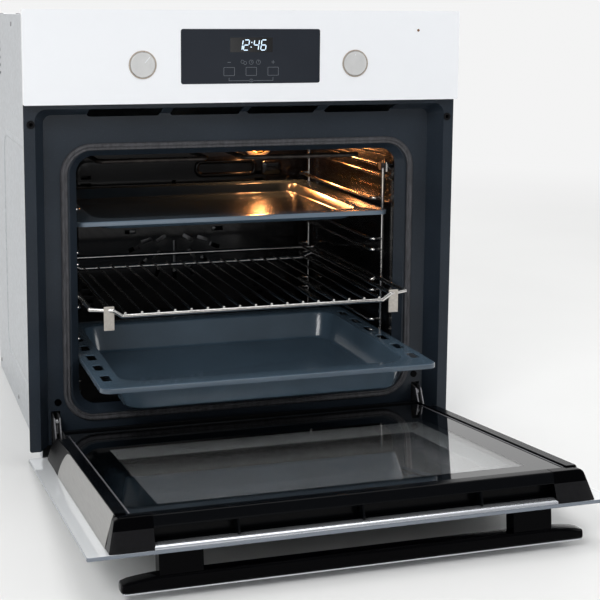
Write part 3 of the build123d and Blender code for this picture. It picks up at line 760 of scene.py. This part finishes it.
def case():
    case_screws()
    case_beads()
    for node in ("base_panel", "side_panel", "rear_panel", "top_panel"):
        carry(node, "zinc_case", 0.3, 1)
    for node in ("air_duct", "blower_housing"):
        carry(node, "zinc_case")
    carry("blower_rotor", "black_plastic")
    carry("blower_motor", "steel", 1.5)
    carry("terminal_block", "black_plastic", 0.8)
    for side in ("left", "right"):
        carry("hinge_bracket_" + side, "steel")
        carry("hinge_catch_" + side, "steel", 0.5)


# ------------------------------------------------------------------ trays and shelf
TRAY_LIP = 6.0          # height of the skirt under a tray's rim
SHEET = 1.2             # thickness of a tray's sheet


def cut_slots(obj, front_y, rim_z):
    """Cut six rounded slots through each side of a tray's rim."""
    first, pitch = 52, 53       # from the rim's front to the first slot, and on to the next
    parts = []
    for side in (-1, 1):
        for k in range(6):
            y = front_y + first + pitch * k
            ring = round_rect(6.0, 14.5, 2.6, 5)
            parts.append(skin([[at(side * 209.5 + x, y + py, rim_z + dz) for x, py in ring]
                               for dz in (-6, 3)], caps=(True, True)))
    cutter = solid("slot_cutter", *merged(parts))
    mod = obj.modifiers.new("slots", "BOOLEAN")
    mod.operation = "DIFFERENCE"
    mod.object = cutter
    mod.solver = "EXACT"
    bpy.context.view_layer.update()
    graph = bpy.context.evaluated_depsgraph_get()
    done = bpy.data.meshes.new_from_object(obj.evaluated_get(graph))
    obj.modifiers.clear()
    obj.data = done
    bpy.data.objects.remove(cutter)


def tray_piece(name, node, rim_z, front_y, deep, slots, rim_painted_light_look):
    """Pressed enamel tray: flat rim with rounded edge, sloping walls, coved floor."""
    middle = front_y + 184
    t = SHEET
    # (half width, half depth, corner radius, z below the rim's top)
    inner = [(194.5, 156.5, 31.0, 0.0), (193.0, 155.0, 29.5, 0.5), (191.9, 153.9, 28.6, 1.8),
             (185.0, 147.2, 25.5, deep - 3.6), (184.0, 146.2, 25.0, deep - 1.6),
             (181.6, 143.8, 23.5, deep - 0.3), (178.5, 140.7, 21.5, deep)]
    rim = [(219.0, 178.5, 12.0, 0.0), (223.3, 182.8, 13.0, 0.0), (224.3, 183.8, 13.6, 0.4),
           (224.5, 184.0, 13.8, 1.0)]
    skirt = [(224.4, 183.9, 13.8, TRAY_LIP), (223.4, 182.9, 13.0, TRAY_LIP)]
    under = [(223.2, 182.7, 12.8, t + 0.6), (222.4, 181.9, 12.2, t), (198.0, 160.0, 33.0, t)]
    outer = [(194.4, 156.4, 30.6, t + 1.6), (186.6, 148.6, 26.4, deep - 2.6 + t),
             (185.0, 147.0, 25.6, deep - 0.6 + t), (181.8, 143.8, 23.8, deep + t - 0.1),
             (178.5, 140.7, 21.5, deep + t)]
    rows = inner[::-1] + rim + skirt + under + outer
    loops = []
    for hx, hy, r, down in rows:
        loops.append([at(x, middle + y, rim_z - down) for x, y in round_rect(hx, hy, r, 10)])
    v, f = skin(loops, caps=(True, True))
    obj = add(name, v, f, ["tray_enamel", rim_painted_light_look], node, node, True)
    # the rim's rounded edge and its skirt have the second look, painted lighter as light on the
    # rim
    count = len(loops[0])
    for row in range(len(inner) + 1, len(inner) + len(rim) + 1):
        for index in range(row * count, (row + 1) * count):
            obj.data.polygons[index].material_index = 1
    if slots:
        cut_slots(obj, front_y, rim_z)
    crisp(obj, 50)


def accessories():
    tray_piece("upper_tray", "baking_tray", rim_z=314.0, front_y=62.0, deep=15.0, slots=False,
               rim_painted_light_look="tray_rim_painted_light")
    tray_piece("roasting_pan", "deep_pan", rim_z=134.0, front_y=-115.0, deep=38.0, slots=True,
               rim_painted_light_look="pan_rim_painted_light")
    carry("wire_shelf", "chrome")
    for side, name in SIDES:
        x, half = side * 197, 6.8
        v, f = box_mesh(x - half, x + half, -24.9, -22.1, 185.6, 217.0)
        tab = add("shelf_stop_" + name, v, f, "satin_steel", "wire_shelf")
        bevel(tab, 0.8, 3, 40)


# ------------------------------------------------------------------ door
def pane(name, node, half, z0, z1, y0, y1, window, looks):
    """Glass pane drawn shut, with a window field set in its front and back faces.

    The looks are the border's and the window's, then if given the edge's and the look of the
    window from outside.
    """
    window_half, window_z0, window_z1 = window
    middle, tall = (z0 + z1) / 2, (z1 - z0) / 2
    window_middle, window_tall = (window_z0 + window_z1) / 2, (window_z1 - window_z0) / 2
    chamfer = 0.5

    def ring(hx, m, hz, r, y):
        return [door_at(x, y, m + z) for x, z in round_rect(hx, hz, r, 6)]

    loops = [
        ring(window_half, window_middle, window_tall, 3.0, y0),
        ring(half - chamfer, middle, tall - chamfer, 2.5, y0),
        ring(half, middle, tall, 3.0, y0 + chamfer),
        ring(half, middle, tall, 3.0, y1 - chamfer),
        ring(half - chamfer, middle, tall - chamfer, 2.5, y1),
        ring(window_half, window_middle, window_tall, 3.0, y1),
    ]
    v, f = skin(loops, caps=(True, True))
    obj = add(name, v, f, looks, "door", node)
    polygons = obj.data.polygons
    for window_face in polygons[-2:]:
        window_face.material_index = 1
    if len(looks) > 2:
        count = len(loops[0])
        for index in range(count, 4 * count):
            polygons[index].material_index = 2
        polygons[-2].material_index = 3
    return obj


def door_glass():
    """Three panes; the clear ones cast no shadow, so that lamps reach the front one."""
    pane("front_pane", "outer_glass", 297.5, 10.0, 471.0, -5.0, -1.0, (218.0, 90.0, 428.0),
         ["glass_white", "glass_window_painted_light", "glass_edge", "glass_window_tint_painted_shade"])
    clear = [pane("centre_pane", "middle_glass", 251.9, 31.0, 443.0, 13.6, 17.6,
                  (238.0, 44.0, 430.0), ["glass_border", "glass_pane"]),
             pane("inner_pane", "inner_glass", 251.9, 31.0, 446.0, 28.5, 32.5,
                  (213.5, 140.0, 421.0), ["glass_border", "glass_pane"])]
    for obj in clear:
        obj.visible_shadow = False
    # grey strips along the pane's long sides, as painted highlight of the pane's edge
    for side, name in SIDES:
        outline = [(32.5, 52.0), (33.2, 53.0), (33.2, 444.0), (32.5, 445.0)]
        v, f = prism_x(outline, side * 247.8, side * 249.6, door_at)
        bevel(add("pane_highlight_strip_" + name, v, f, "pane_trim", "door"), 0.25, 2, 30)


def top_bar():
    """Moulded black bar along the door's top edge, with a long slot and ribs."""
    half = BAR_HALF
    # the bar's nose, then the slot's inner wall and its floor, each as (y, z) or a box
    nose = [(20.0, 463.2), (20.8, 464.0), (22.6, 463.8), (30.8, 461.6), (32.3, 460.6),
            (32.9, 459.0), (33.0, 446.2), (31.0, RIM_BAR_Z), (22.0, RIM_BAR_Z), (20.0, 448.0)]
    parts = [prism_x(nose, -half, half, door_at),
             box_mesh(-half, half, 4.6, 17.2, RIM_BAR_Z, 448.0, door_at),
             # a black plate over the front glass at the foot of the slot: painted shade, put
             # where the slot is only in shade
             box_mesh(-half, half, 3.2, 4.6, RIM_BAR_Z, 458.8, door_at)]
    rib = [(4.6, 448.0), (4.6, 465.5), (8.0, 466.4), (20.2, 462.8), (20.2, 448.0)]
    for x in (-138, 0, 138):
        parts.append(prism_x(rib, x - 1.3, x + 1.3, door_at))
    v, f = merged(parts)
    bevel(add("door_top_bar", v, f, "rail_black", "door", "top_profile"), 0.5, 2, 30)


def caps():
    """Corner pieces: a gloss bevel above a matte lower face, with the outer corner rounded."""
    for side, name in SIDES:
        # stations along X: (x, lean outwards at the foot, base z, shoulder z, top y, top z)
        stations = [(227.0, 0.0, 470.7, 463.9, 33.0, 460.6),
                    (258.0, 0.0, 470.7, 463.9, 33.0, 460.6),
                    (263.0, 3.6, 470.4, 463.7, 32.6, 460.4),
                    (265.4, 7.0, 469.6, 463.0, 30.6, 459.6),
                    (266.2, 8.6, 468.6, 462.0, 29.4, 458.0)]
        loops = []
        for x, lean, base, shoulder, top_y, top_z in stations:
            outline = [(-0.9, RIM_BAR_Z), (-0.9, base), (20.2, shoulder), (21.2, shoulder - 0.2),
                       (top_y - 1.0, top_z + 0.6), (top_y, top_z - 0.6), (top_y, RIM_BAR_Z)]
            loops.append([door_at(side * (x + lean * (1 - (y + 0.9) / 33.9)), y, z)
                          for y, z in outline])
        v, f = skin(loops, caps=(True, True))
        obj = add("corner_cap_" + name, v, f, ["gloss_black", "black_plastic"], "door",
                  "end_cap_" + name)
        count = len(loops[0])
        for row in range(len(stations) - 1):
            obj.data.polygons[row * count + 1].material_index = 1
        bevel(obj, 0.8, 3, 18)


def strip():
    """Rounded metal strip along the top edge, over the edge of the front glass."""
    outline = [(-1.0, 459.0), (-1.0, 470.2), (-0.4, 470.9), (0.8, 470.8), (2.0, 470.0),
               (3.0, 468.6), (3.8, 466.6), (4.3, 464.2), (4.45, 461.4), (4.45, 459.0)]
    overlap = 0.8       # how far it runs on behind each cap
    v, f = prism_x(outline, -BAR_HALF - overlap, BAR_HALF + overlap, door_at)
    crisp(add("door_top_strip", v, f, "aluminium", "door", "top_strip", True), 50)


def handle():
    """Long flat bar, ends drawn in, with rounded edges, and a thin bright face."""
    # (distance from the middle, back y, front y, low z, high z), from one end inwards
    end = [(262.0, -35.4, -43.4, 447.0, 463.0), (260.8, -34.2, -44.0, 445.0, 465.0),
           (254.0, -32.4, -44.0, 444.0, 466.0), (244.0, -31.0, -44.0, 444.0, 466.0),
           (230.0, -29.6, -44.0, 444.0, 466.0), (222.0, -29.0, -44.0, 444.0, 466.0)]
    stations = [(-x, *rest) for x, *rest in end] + end[::-1]
    loops = []
    for x, back, front, low, high in stations:
        r = min(3.2, (back - front) / 2.2)
        ring = round_rect((back - front) / 2, (high - low) / 2, r, 5)
        loops.append([door_at(x, (back + front) / 2 + py, (low + high) / 2 + pz)
                      for py, pz in ring])
    v, f = skin(loops, caps=(True, True))
    crisp(add("handle_grip", v, f, "gloss_black", "door", "handle_bar", True), 45)
    ring = round_rect(261.0, 10.0, 3.0, 6)
    loops = [[door_at(x, y, 455.0 + z) for x, z in ring] for y in (-45.6, -44.0)]
    v, f = skin(loops, caps=(True, True))
    bevel(add("handle_trim", v, f, "aluminium", "door", "handle_face"), 0.4, 2, 40)
    carry("handle_post", "gloss_black", 0.8, 2)
    carry("handle_screw", "steel")


def side_layer(name, side, start, proud, look, replaces=(), depth=1.4):
    """One slanted layer of the door's side, from a rounded hinge end up to the top bar."""
    # the section from the front glass up to the rail: (share of the way, x, y)
    section = [(0.0, 274.2, -0.9), (0.08, 273.9, 1.5), (0.2, 273.2, 5.0), (0.26, 272.6, 7.0),
               (0.45, 270.7, 14.0), (0.65, 268.4, 21.0), (0.82, 266.3, 27.5), (0.93, 265.0, 31.6),
               (1.0, 264.2, 33.6)]
    rows = 26
    curl = 39.0         # how far the rounded end draws back between the glass and the rail
    outer, inner = [], []
    for t, x, y in section:
        z0 = start + curl * (1 - math.sqrt(max(0.0, 1 - t * t)))
        heights = [z0 + (RIM_BAR_Z - z0) * k / rows for k in range(rows + 1)]
        outer.append([door_at(side * (x + proud), y, z) for z in heights])
        inner.append([door_at(side * (x - depth), y, z) for z in heights])
    verts = [p for row in outer + inner for p in row]
    wide, tall = rows + 1, len(section)
    faces = []
    for base in (0, wide * tall):
        for i in range(tall - 1):
            for k in range(rows):
                a = base + i * wide + k
                faces.append((a, a + 1, a + wide + 1, a + wide))
    edge = ([k for k in range(wide)] + [i * wide + rows for i in range(1, tall)]
            + [(tall - 1) * wide + k for k in range(rows - 1, -1, -1)]
            + [i * wide for i in range(tall - 2, 0, -1)])
    for a, b in zip(edge, edge[1:] + edge[:1]):
        faces.append((a, b, b + wide * tall, a + wide * tall))
    crisp(add(name, verts, faces, look, "door", replaces, True), 40)


def door_sides():
    for side, name in SIDES:
        side_layer("door_side_plate_" + name, side, 122.0, 0.8, "side_paint",
                   "door_side_" + name)
        side_layer("hinge_cover_step_" + name, side, 104.0, 0.45, "black_plastic")
        side_layer("hinge_cover_ridge_" + name, side, 88.0, 0.15, "black_plastic")
        side_layer("hinge_cover_" + name, side, 26.0, -0.15, "black_plastic", depth=0.5)


def door():
    door_glass()
    top_bar()
    caps()
    strip()
    handle()
    door_sides()
    for side in ("left", "right"):
        carry("door_rail_" + side, "rail_black", 0.3, 2, 40)
    carry("bottom_rail", "rail_black", 0.5)
    carry("hinge_arm", "steel", 0.4)


# ------------------------------------------------------------------ stage
ROOM = 0.98         # brightness of the room round the oven
FRONT_GREY, BACK_WHITE = srgb(168, 169, 171), srgb(246, 246, 246)


def horizon(tree, vector):
    """The room's colour in a direction: pale behind the oven, greyer towards the front."""
    split = tree.nodes.new("ShaderNodeSeparateXYZ")
    shift = tree.nodes.new("ShaderNodeMapRange")
    ramp = tree.nodes.new("ShaderNodeValToRGB")
    shift.inputs["From Min"].default_value = -1.0
    ramp.color_ramp.elements[0].position = 0.2
    ramp.color_ramp.elements[0].color = FRONT_GREY
    ramp.color_ramp.elements[1].position = 0.62
    ramp.color_ramp.elements[1].color = BACK_WHITE
    tree.links.new(vector, split.inputs["Vector"])
    tree.links.new(split.outputs["Y"], shift.inputs["Value"])
    tree.links.new(shift.outputs["Result"], ramp.inputs["Fac"])
    return ramp.outputs["Color"]


def paper_floor():
    """A pale paper floor that fades into the room's colour far away, so no edge shows."""
    reach = 90.0                # radius in metres
    near, far = 1.3, 3.4        # where the fade starts and ends
    ring = [(reach * math.cos(2 * math.pi * k / 64), reach * math.sin(2 * math.pi * k / 64), 0)
            for k in range(64)]
    mesh = bpy.data.meshes.new("floor")
    mesh.from_pydata(ring, [], [tuple(range(64))])
    floor = bpy.data.objects.new("floor", mesh)
    bpy.context.scene.collection.objects.link(floor)
    look = Look("floor_paper", srgb(223, 223, 222), 0.6)
    look.tint(look.noise(3, 3), [(0.3, srgb(222, 222, 221)), (0.7, srgb(224, 224, 223))])
    tree = look.tree
    coord = look.node("ShaderNodeTexCoord")
    length = look.node("ShaderNodeVectorMath", operation="LENGTH")
    unit = look.node("ShaderNodeVectorMath", operation="NORMALIZE")
    fade = look.node("ShaderNodeMapRange", interpolation_type="SMOOTHSTEP")
    fade.inputs["From Min"].default_value = near
    fade.inputs["From Max"].default_value = far
    glow_far = look.node("ShaderNodeEmission")
    glow_far.inputs["Strength"].default_value = ROOM
    blend = look.node("ShaderNodeMixShader")
    look.link(coord.outputs["Object"], length.inputs[0])
    look.link(coord.outputs["Object"], unit.inputs[0])
    look.link(length.outputs["Value"], fade.inputs["Value"])
    look.link(horizon(tree, unit.outputs["Vector"]), glow_far.inputs["Color"])
    look.link(fade.outputs["Result"], blend.inputs["Fac"])
    look.link(look.shader.outputs["BSDF"], blend.inputs[1])
    look.link(glow_far.outputs["Emission"], blend.inputs[2])
    look.link(blend.outputs["Shader"], tree.nodes["Material Output"].inputs["Surface"])
    mesh.materials.append(look.mat)


def room():
    """The pale room that lights and surrounds the oven."""
    world = bpy.data.worlds.new("studio")
    world.use_nodes = True
    tree = world.node_tree
    coord = tree.nodes.new("ShaderNodeTexCoord")
    background = tree.nodes["Background"]
    background.inputs["Strength"].default_value = ROOM
    tree.links.new(horizon(tree, coord.outputs["Generated"]), background.inputs["Color"])
    bpy.context.scene.world = world
    bpy.context.scene.view_settings.view_transform = "Standard"


def soft_light(name, where, target, size, power):
    data = bpy.data.lights.new(name, "AREA")
    data.shape = "RECTANGLE"
    data.size, data.size_y = size
    data.energy = power
    obj = bpy.data.objects.new(name, data)
    obj.location = where
    obj.rotation_euler = (Vector(target) - Vector(where)).to_track_quat("-Z", "Y").to_euler()
    bpy.context.scene.collection.objects.link(obj)


def glow(name, where, radius, power, colour):
    data = bpy.data.lights.new(name, "POINT")
    data.energy = power
    data.color = colour
    data.shadow_soft_size = radius
    obj = bpy.data.objects.new(name, data)
    obj.location = where
    bpy.context.scene.collection.objects.link(obj)


def lights():
    """Large soft lights round the oven, and its own small warm lamp."""
    soft_light("key", (-1.9, -2.6, 2.4), (0, -0.2, 0.35), (1.4, 1.0), 52)
    soft_light("top", (0.3, -0.3, 2.6), (0.1, -0.2, 0.3), (1.6, 1.6), 20)
    soft_light("fill", (2.6, -1.9, 1.5), (0, 0, 0.3), (1.0, 1.0), 22)
    soft_light("rear", (0.4, 3.0, 2.0), (0, 0.2, 0.3), (2.0, 1.4), 22)
    soft_light("low", (-0.3, -3.2, 0.35), (0, -0.7, 0.0), (2.4, 0.4), 4)
    glow("lamp", at(LAMP_X, 445, LAMP_Z), 0.01, 0.7, (1.0, 0.40, 0.14))
    glow("lamp_spill", at(128, 408, 396), 0.006, 0.16, (1.0, 0.42, 0.16))


def camera():
    """The photograph's view, worked out from the front's known sizes, for a square frame."""
    data = bpy.data.cameras.new("camera")
    data.sensor_width = 36.0
    data.lens = 80.19
    data.shift_x = 0.0668333333
    data.shift_y = -0.1616666667
    data.clip_start = 0.05
    obj = bpy.data.objects.new("camera", data)
    yaw, pitch, roll = math.radians(17.06), math.radians(8.13), math.radians(0.25)
    obj.location = at(-505.2, -1686.8, 592.6)
    turn = Matrix.Rotation(-yaw, 4, "Z") @ Matrix.Rotation(math.pi / 2 - pitch, 4, "X")
    obj.rotation_euler = (turn @ Matrix.Rotation(roll, 4, "Z")).to_euler()
    bpy.context.scene.collection.objects.link(obj)
    bpy.context.scene.camera = obj


paper_floor()
room()
lights()
camera()
control_panel()
display()
oven_front()
cavity()
case()
accessories()
door()
